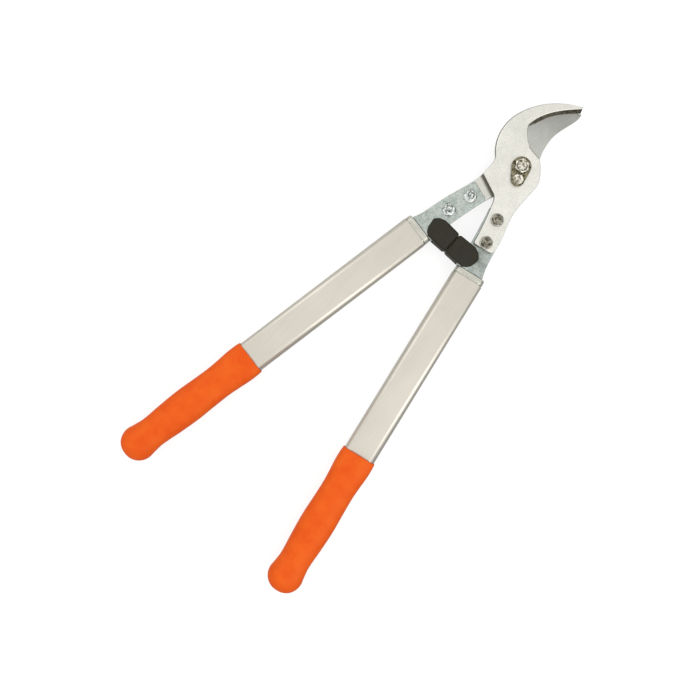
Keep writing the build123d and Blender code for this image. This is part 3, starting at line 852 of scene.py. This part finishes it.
class LOPPERS_OT_pivot(Operator):
    """Pivot bolt, adjusting nut, washer, lock plate and its slotted screw"""

    bl_idname = "loppers.pivot"
    bl_label = "Pivot"

    def execute(self, context):
        sizes = context.scene.lopper_sizes
        dark = oiled_steel("oiled_steel", (0.055, 0.048, 0.022), (0.30, 0.27, 0.18))
        bright = oiled_steel("turned_steel", (0.26, 0.235, 0.17), (0.95, 0.92, 0.82), 0.2)
        self.bolt(sizes, bright)
        self.nut(bright)
        for node, name, material, slot in (
                ("pivot_head_washer", "head_washer", dark, "pivot_steel"),
                ("lock_plate", "teardrop_lock", dark, "pivot_steel"),
                ("lock_screw", "slotted_screw", bright, "bright_steel")):
            piece = dress(copy_of(node, name), material)
            round_edges(piece, sizes.small_round)
            settle(piece, "right", node)
        return {"FINISHED"}

    @staticmethod
    def bolt(sizes, material):
        """Dished hexagon below, plain shank, thread on top."""
        low, high = height_of("pivot_bolt")
        head_top = height_of("pivot_head_washer")[0]
        dish = [[Vector((0, 0, low + 1.2))], turned_ring(0.28 * PIVOT_HEAD_FLATS, low + 1.2),
                turned_ring(0.38 * PIVOT_HEAD_FLATS, low + 0.1)]
        rings = dish + hexagon_rings(PIVOT_HEAD_FLATS, low, head_top, True)[::-1] + [[Vector((0, 0, head_top))]]
        head = loft("pivot_head", rings, PIVOT_PLACE, 20)
        bar = threaded_bar(PIVOT_THREAD_R, sizes.pivot_pitch / MM, 0.5, high, HOOK_TOP, high, 0.9)
        bar.data.transform(PIVOT_PLACE)
        shank_rings = [[Vector((0, 0, head_top))], turned_ring(PIVOT_SHANK_R, head_top),
                       turned_ring(PIVOT_SHANK_R, 0), [Vector((0, 0, 0))]]
        shank = loft("pivot_shank", shank_rings, PIVOT_PLACE)
        bolt = dress(join("pivot_bolt_threaded", [head, bar, shank]), material)
        settle(bolt, "right", "pivot_bolt")

    @staticmethod
    def nut(material):
        """Plain hexagon nut with a countersunk bore."""
        low, high = height_of("adjusting_nut")
        bore = PIVOT_THREAD_R + 0.02
        rings = [turned_ring(bore, low), turned_ring(bore, high - 0.7), turned_ring(bore + 0.75, high)]
        rings += hexagon_rings(PIVOT_NUT_FLATS, low, high, True)
        nut = dress(loft("hexagon_nut", rings, PIVOT_PLACE, 20, ring_closed=True), material)
        settle(nut, "right", "adjusting_nut")


class LOPPERS_OT_jaw_bolts(Operator):
    """Flange bolts and nuts that join each jaw to its shank, two of each on a side"""

    bl_idname = "loppers.jaw_bolts"
    bl_label = "Jaw bolts"

    THREADED = 12             # mm of thread from the bolt's end
    FLANGE_FROM = 0.585       # where the flange's own tone starts, over the hexagon's flats

    def execute(self, context):
        sizes = context.scene.lopper_sizes
        brown = oiled_steel("burnished_steel", (0.085, 0.08, 0.055), (0.40, 0.375, 0.30), 0.3)
        pale = oiled_steel("pale_flange", (0.44, 0.43, 0.40), (0.70, 0.68, 0.64), 0.34)
        zinc = oiled_steel("plated_zinc", (0.20, 0.23, 0.21), (0.93, 0.96, 0.94), 0.2)
        tree, known = pair_tree()
        for side, jaw, metal, flange in (("right", "hook", brown, pale), ("left", "blade", zinc, zinc)):
            up = SIGNS[side]
            low, high = height_of(jaw + "_bolts")
            near, far = two_axes(jaw + "_bolts", BOLT_FLANGE_R)
            values = {"Near": near, "Step": far - near, "Most turn": tau, "Seed": sizes.turn_seed,
                      "Flange from": self.FLANGE_FROM * BOLT_FLATS, "Hexagon": metal, "Flange": flange}
            head_height = high - HOOK_TOP if side == "right" else BLADE_FOOT - low
            foot = high - low - head_height
            bar = threaded_bar(BOLT_THREAD_R, sizes.thread_pitch / MM, 0, foot, 0, self.THREADED, 0.7)
            head = flange_bolt_head(head_height)
            head.data.transform(Matrix.Translation((0, 0, foot)))
            bolt = join(jaw + "_flange_bolts", [bar, head])
            bolt.data.transform(self.standing(up, low, high))
            nut = flange_nut(node_size(jaw + "_nuts").z)
            nut.name = jaw + "_flange_nuts"
            nut.data.transform(self.standing(-up, *height_of(jaw + "_nuts")))
            for piece, slot, node in ((bolt, "bolt_steel", jaw + "_bolts"), (nut, "zinc_plate", jaw + "_nuts")):
                run_tree(piece, tree, known, values)
                piece.data.attributes.remove(piece.data.attributes["reach"])
                smooth(piece.data, 20)
                settle(piece, side, node)
        return {"FINISHED"}

    @staticmethod
    def standing(up, low, high):
        """A piece that starts at z = 0 set between two heights, upright or head down."""
        return Matrix.Translation((0, 0, low)) if up > 0 else (
            Matrix.Translation((0, 0, high)) @ Matrix.Rotation(pi, 4, "X"))


class LOPPERS_OT_shanks(Operator):
    """Cast shanks with their edges rounded as in a mould"""

    bl_idname = "loppers.shanks"
    bl_label = "Shanks"

    TOE_FACING = 0.62         # how squarely a face of the toe looks towards the jaw to take the painted shade

    def execute(self, context):
        sizes, colours = chosen(context)
        zinc = zinc_casting("zinc_casting", colours.casting)
        # painted shade: faces of the toe that look towards the jaw are near black, for the dark line at its
        # step
        shade = oiled_steel("toe_painted_shade", (0.03, 0.032, 0.03), (0.10, 0.105, 0.10), 0.5)
        for side in SIGNS:
            piece = copy_of(side + "_shank", side + "_cast_shank")
            skin = piece.modifiers.new("Skin", "REMESH")
            skin.mode = "VOXEL"
            skin.voxel_size = sizes.casting_voxel
            melt = piece.modifiers.new("Melt", "SMOOTH")
            melt.factor = 0.5
            melt.iterations = 7
            baked(piece)
            piece.data.shade_smooth()
            dress(piece, zinc, shade)
            to_jaw = HANDLE_PLACE[side].to_3x3().normalized() @ Vector((0, 1, 0))
            for face in piece.data.polygons:
                face.material_index = face.normal.dot(to_jaw) > self.TOE_FACING
            settle(piece, side, side + "_shank")
        return {"FINISHED"}


class LOPPERS_OT_collars(Operator):
    """Grooved collars in front of the tubes, with the plug and mortise behind them"""

    bl_idname = "loppers.collars"
    bl_label = "Collars"

    # distance down the handle and how far the skin is drawn in, along the flange
    FLANGE = ((0.0, 1.6), (0.25, 1.0), (0.7, 0.5), (1.4, 0.18), (2.4, 0.1), (2.65, 0.35), (2.9, 0.35),
              (3.15, 0.05), (4.3, 0.0), (4.5, 0.3), (4.75, 0.3), (4.95, 0.0), (5.9, 0.0), (6.15, 0.12),
              (6.3, 0.35))

    def execute(self, context):
        joint = SHANK_FOOT + self.FLANGE[-1][0]
        rings = [rounded_ring(TONGUE_END, *TONGUE_SECTION), rounded_ring(SHANK_FOOT, *TONGUE_SECTION)]
        rings += [rounded_ring(SHANK_FOOT + step, COLLAR_WIDE, COLLAR_DEEP, COLLAR_CORNER_R, inset)
                  for step, inset in self.FLANGE]
        rings += [rounded_ring(joint, *PLUG_SECTION), rounded_ring(PLUG_END, *PLUG_SECTION)]
        # painted shade in the gap behind the flange, with grime: the plug and the tongue are near black
        gap_shade_and_grime = oiled_steel("joint_shade_and_grime", (0.02, 0.02, 0.016), (0.05, 0.048, 0.04), 0.6)
        for side in SIGNS:
            alloy = turned_alloy(side + "_turned_alloy", context.scene.lopper_colours.collar,
                                 -SIGNS[side] * HANDLE_TURN)
            piece = loft(side + "_grooved_collar", rings, HANDLE_PLACE[side])
            to_handle = HANDLE_PLACE[side].inverted()
            for face in piece.data.polygons:
                face.material_index = -(to_handle @ face.center).y > joint - 0.01
            settle(dress(piece, alloy, gap_shade_and_grime), side, side + "_collar")
        return {"FINISHED"}


class LOPPERS_OT_stops(Operator):
    """Rubber stops with sloping cheeks and soft edges"""

    bl_idname = "loppers.stops"
    bl_label = "Rubber stops"

    RIDGE = 16.0              # how far from the tool's axis the cheeks are thickest
    INNER_FALL = 0.15         # share of the depth lost at the striking face, and at the outer end
    OUTER_FALL = 0.34
    STRIKING_GAP = 0.04       # mm from the tool's axis to each striking face

    def execute(self, context):
        sizes, colours = chosen(context)
        rubber = moulded_rubber("moulded_rubber", colours.rubber)
        for side in SIGNS:
            piece = dress(copy_of(side + "_bumper", side + "_rubber_stop"), rubber)
            bm = bmesh.new()
            bm.from_mesh(piece.data)
            self.slope_cheeks(bm, SIGNS[side])
            self.choose_edges(bm, PIVOT + middle_of(side + "_bumper") * MM)
            bm.to_mesh(piece.data)
            bm.free()
            round_edges(piece, sizes.rubber_round, 3, weighted=True)
            settle(piece, side, side + "_bumper")
        return {"FINISHED"}

    def slope_cheeks(self, bm, sign):
        """Cut both cheeks across at the ridge, and thin them from there to both ends."""
        ridge = sign * self.RIDGE * MM
        everything = bm.verts[:] + bm.edges[:] + bm.faces[:]
        bmesh.ops.bisect_plane(bm, geom=everything, plane_co=(ridge, 0, 0), plane_no=(1, 0, 0))
        for vert in bm.verts:
            away = sign * (vert.co.x - ridge) / MM / self.RIDGE
            fall = self.OUTER_FALL * away if away > 0 else -self.INNER_FALL * away
            vert.co.z = PIVOT.z + (vert.co.z - PIVOT.z) * (1 - fall)
            if abs(vert.co.x) < MM:
                vert.co.x = sign * self.STRIKING_GAP * MM
        bm.normal_update()

    @staticmethod
    def choose_edges(bm, middle):
        """Only edges on the outside are rounded, not those of the pocket for the shank."""
        weight = bm.edges.layers.float.new("bevel_weight_edge")
        for edge in bm.edges:
            if len(edge.link_faces) == 2 and edge.calc_face_angle() > ROUNDED:
                point = (edge.verts[0].co + edge.verts[1].co) / 2
                edge[weight] = all(face.normal.dot(point - middle) > 0 for face in edge.link_faces)


class LOPPERS_OT_tubes(Operator):
    """Flat-sided handle tubes with their ends broken"""

    bl_idname = "loppers.tubes"
    bl_label = "Tubes"

    def execute(self, context):
        sizes, colours = chosen(context)
        for side in SIGNS:
            alloy = drawn_aluminium(side + "_drawn_aluminium", colours.tube, -SIGNS[side] * HANDLE_TURN)
            piece = dress(copy_of(side + "_tube", side + "_flat_tube"), alloy)
            round_edges(piece, sizes.small_round)
            settle(piece, side, side + "_tube")
        return {"FINISHED"}


class LOPPERS_OT_pins(Operator):
    """Slotted spring pins of the stops and the tubes"""

    bl_idname = "loppers.pins"
    bl_label = "Spring pins"

    def execute(self, context):
        steel = oiled_steel("spring_steel", (0.30, 0.30, 0.29), (0.58, 0.58, 0.57), 0.32)
        tree, known = pin_tree()
        for side in SIGNS:
            for node, count in ((side + "_bumper_pin", 1), (side + "_tube_pins", 2)):
                near, far = two_axes(node, PIN_R)
                lift = Vector((0, 0, middle_of(node).z))
                piece = made(node + "_rolled", bmesh.new())
                run_tree(piece, tree, known, {
                    "Radius": PIN_R, "Wall": 0.6, "Length": node_size(node).z, "Count": count,
                    "Near": near + lift, "Step": far - near, "Material": steel})
                smooth(piece.data)
                settle(piece, side, node)
        return {"FINISHED"}


class LOPPERS_OT_grips(Operator):
    """Moulded orange grips with a rolled mouth, a palm swell and a ball end"""

    bl_idname = "loppers.grips"
    bl_label = "Grips"

    RING_STEP = 1.0           # mm between rings along the grip
    DOME_RINGS = 22
    SEAM = 0.22               # height of the mould's parting line

    def execute(self, context):
        vinyl = moulded_vinyl("moulded_vinyl", context.scene.lopper_colours.grip)
        rings = self.bore() + self.lip() + self.outside() + self.dome()
        for side in SIGNS:
            piece = loft(side + "_moulded_grip", rings, HANDLE_PLACE[side], 60)
            settle(dress(piece, vinyl), side, side + "_grip")
        return {"FINISHED"}

    @staticmethod
    def bore():
        """From the blind end of the stem's bore forward to the mouth."""
        tube = (TUBE_WIDE + 0.1, TUBE_DEEP + 0.1, TUBE_CORNER_R)
        return [rounded_ring(STEM_END, *STEM_SECTION), rounded_ring(TUBE_END, *STEM_SECTION),
                rounded_ring(TUBE_END, *tube), rounded_ring(GRIP_MOUTH + 0.8, *tube)]

    @staticmethod
    def lip():
        """The rolled edge of the mouth, a quarter round outside and a small one inside."""
        _, wide, deep, power = GRIP_SHAPE[0]
        rings = [rounded_ring(GRIP_MOUTH + 0.15, TUBE_WIDE + 0.5, TUBE_DEEP + 0.5, TUBE_CORNER_R)]
        for step in range(5):
            angle = pi / 2 * step / 4
            inset, back = 0.7 * (1 - sin(angle)), 0.7 * (1 - cos(angle))
            rings.append(handle_ring(GRIP_MOUTH + back, wide / 2 - inset, deep / 2 - inset, power))
        return rings

    def outside(self):
        """The grip's length, with the parting line standing proud at both sides."""
        rings = []
        count = int((GRIP_BALL - GRIP_MOUTH - 1) / self.RING_STEP)
        for step in range(count + 1):
            distance = GRIP_MOUTH + 1 + (GRIP_BALL - GRIP_MOUTH - 1) * step / count
            wide, deep, power = between(GRIP_SHAPE, distance)
            rings.append(self.seamed(handle_ring(distance, wide / 2, deep / 2, power)))
        return rings

    def dome(self):
        """The ball end, closed at a pole."""
        _, wide, deep, power = GRIP_SHAPE[-1]
        reach = GRIP_END - GRIP_BALL
        rings = []
        for step in range(1, self.DOME_RINGS):
            angle = pi / 2 * step / self.DOME_RINGS
            share = cos(angle) ** 0.9
            distance = GRIP_BALL + reach * sin(angle)
            rings.append(self.seamed(handle_ring(distance, wide / 2 * share, deep / 2 * share, power)))
        return rings + [[Vector((TUBE_X, -GRIP_END, 0))]]

    def seamed(self, ring):
        """The ring with its two outermost points drawn outwards."""
        for step, sign in ((0, 1), (SECTION_STEPS // 2, -1)):
            ring[step].x += sign * self.SEAM
        return ring


class LOPPERS_OT_hidden(Operator):
    """Finishes for the bush and the cores, which keep their CAD shapes"""

    bl_idname = "loppers.hidden"
    bl_label = "Hidden pieces"

    def execute(self, context):
        bronze = oiled_steel("sintered_bronze", (0.42, 0.27, 0.12), (0.62, 0.45, 0.24), 0.35)
        nylon = plain_moulding("glass_filled_nylon", (0.06, 0.06, 0.06))
        for node, material, slot in (
                ("pivot_bush", bronze, "bronze"), ("right_grip_core", nylon, "core_plastic"),
                ("left_grip_core", nylon, "core_plastic")):
            dress(frame["nodes"][node], material)
        return {"FINISHED"}


FLOOR_Z = -0.0003             # just under the tool, so that the two never share a plane
FLOOR_STEPS = 96
# radius and height of the floor and the wall round it, in metres
FLOOR_PROFILE = ((1.0, 0.0), (5.0, 0.0), (5.8, 0.12), (6.5, 0.5), (6.9, 1.1), (7.0, 2.0), (7.0, 7.0))


class LOPPERS_OT_studio(Operator):
    """Pale floor, soft lights and the camera straight above"""

    bl_idname = "loppers.studio"
    bl_label = "Studio"

    LIGHT_SIZE = 0.9
    # metres to the right in the picture, up it and above the tool
    KEY_PLACE = Vector((-0.9, 1.1, 1.5))
    EDGE_PLACE = Vector((0.85, -0.75, 1.35))
    WINDOW = Vector((-0.6, 0.8, 0))

    def execute(self, context):
        scene, studio = context.scene, context.scene.lopper_studio
        turned = Matrix.Rotation(studio.turn, 3, "Z")
        aim = Vector((*studio.aim, PIVOT.z))
        self.floor(studio.glow)
        self.sky(scene, studio, turned @ self.WINDOW)
        self.softbox("key_light", turned @ self.KEY_PLACE, aim, studio.key)
        self.softbox("edge_light", turned @ self.EDGE_PLACE, aim, studio.edge)
        self.camera(scene, studio, aim)
        scene.view_settings.view_transform = "Standard"
        scene.view_settings.look = "None"
        return {"FINISHED"}

    @staticmethod
    def floor(glow):
        """A pale round floor that curves up into a wall and glows a little, as a light table does."""
        bm = bmesh.new()
        inner = [bm.verts.new((0, 0, FLOOR_Z))]
        for radius, height in FLOOR_PROFILE:
            ring = [bm.verts.new((radius * cos(angle), radius * sin(angle), FLOOR_Z + height))
                    for angle in (tau * step / FLOOR_STEPS for step in range(FLOOR_STEPS))]
            for step in range(FLOOR_STEPS):
                after = (step + 1) % FLOOR_STEPS
                corners = (inner[step % len(inner)], ring[step], ring[after], inner[after % len(inner)])
                bm.faces.new(list(dict.fromkeys(corners)))
            inner = ring
        floor = made("floor", bm)
        floor.data.shade_smooth()
        paint = Finish("floor_paint", 0.0, 0.9, 0.1)
        paint.shader["Base Color"].default_value = (0.3, 0.3, 0.3, 1)
        paint.shader["Emission Color"].default_value = (1, 1, 1, 1)
        paint.shader["Emission Strength"].default_value = glow
        floor.visible_glossy = floor.visible_diffuse = floor.visible_shadow = False
        dress(floor, paint.material)

    @staticmethod
    def sky(scene, studio, bright):
        """Pale surroundings, brightest overhead, then towards the window."""
        scene.world = bpy.data.worlds.new("studio")
        scene.world.use_nodes = True
        tree = scene.world.node_tree
        outward = add_node(tree, "ShaderNodeTexCoord", out="Generated")
        facing = add_node(tree, "ShaderNodeVectorMath", {0: outward, 1: bright}, "Value",
                          operation="DOT_PRODUCT")
        side = add_node(tree, "ShaderNodeMapRange", {
            "Value": facing, "From Min": -1.0, "To Min": studio.sky_low, "To Max": studio.sky_high})
        height = add_node(tree, "ShaderNodeSeparateXYZ", {"Vector": outward}, "Z")
        lift = add_node(tree, "ShaderNodeMapRange", {"Value": height, "From Min": 0.1, "From Max": 0.6},
                        interpolation_type="SMOOTHSTEP")
        level = add_node(tree, "ShaderNodeMix", {0: lift, 2: side, 3: studio.zenith}, data_type="FLOAT")
        background = tree.nodes["Background"].inputs
        background["Color"].default_value = (1.0, 0.998, 0.99, 1)
        tree.links.new(level, background["Strength"])

    def softbox(self, name, place, aim, power):
        """A square light that the camera doesn't see."""
        light = bpy.data.lights.new(name, "AREA")
        light.shape = "SQUARE"
        light.size = self.LIGHT_SIZE
        light.energy = power
        lamp = linked(name, light)
        lamp.location = aim + place
        lamp.rotation_euler = place.to_track_quat("Z", "Y").to_euler()
        lamp.visible_camera = False

    @staticmethod
    def camera(scene, studio, aim):
        """Straight down, with the picture turned so that the tool lies across it."""
        lens = bpy.data.cameras.new("camera")
        lens.lens = studio.lens
        lens.sensor_width = 36
        lens.clip_start = 0.05
        scene.camera = linked("camera", lens)
        scene.camera.location = aim + Vector((0, 0, studio.height))
        scene.camera.rotation_euler = (0, 0, studio.turn)


PIECE_TOOLS = (LOPPERS_OT_hook, LOPPERS_OT_blade, LOPPERS_OT_pivot, LOPPERS_OT_jaw_bolts, LOPPERS_OT_shanks,
               LOPPERS_OT_collars, LOPPERS_OT_stops, LOPPERS_OT_tubes, LOPPERS_OT_pins, LOPPERS_OT_grips,
               LOPPERS_OT_hidden, LOPPERS_OT_studio)


class LOPPERS_PT_panel(Panel):
    """The tools in the order they run, and the settings they read"""

    bl_idname = "LOPPERS_PT_panel"
    bl_label = "Bypass Loppers"
    bl_space_type = "VIEW_3D"
    bl_region_type = "UI"
    bl_category = "Loppers"

    def draw(self, context):
        column = self.layout.column(align=True)
        for tool in PIECE_TOOLS:
            column.operator(tool.bl_idname)
        for group, cls in SETTINGS.items():
            box = self.layout.box()
            for key in cls.__annotations__:
                box.prop(getattr(context.scene, group), key)


CLASSES = (*SETTINGS.values(), *PIECE_TOOLS, LOPPERS_PT_panel)


def register():
    """Make the classes known, and hang the settings on the scene."""
    for cls in CLASSES:
        bpy.utils.register_class(cls)
    for key, group in SETTINGS.items():
        setattr(bpy.types.Scene, key, PointerProperty(type=group))


def unregister():
    """Undo register."""
    for key in SETTINGS:
        delattr(bpy.types.Scene, key)
    for cls in reversed(CLASSES):
        bpy.utils.unregister_class(cls)


def main():
    register()
    for tool in PIECE_TOOLS:
        group, name = tool.bl_idname.split(".")
        getattr(getattr(bpy.ops, group), name)()


if __name__ == "__main__":
    main()
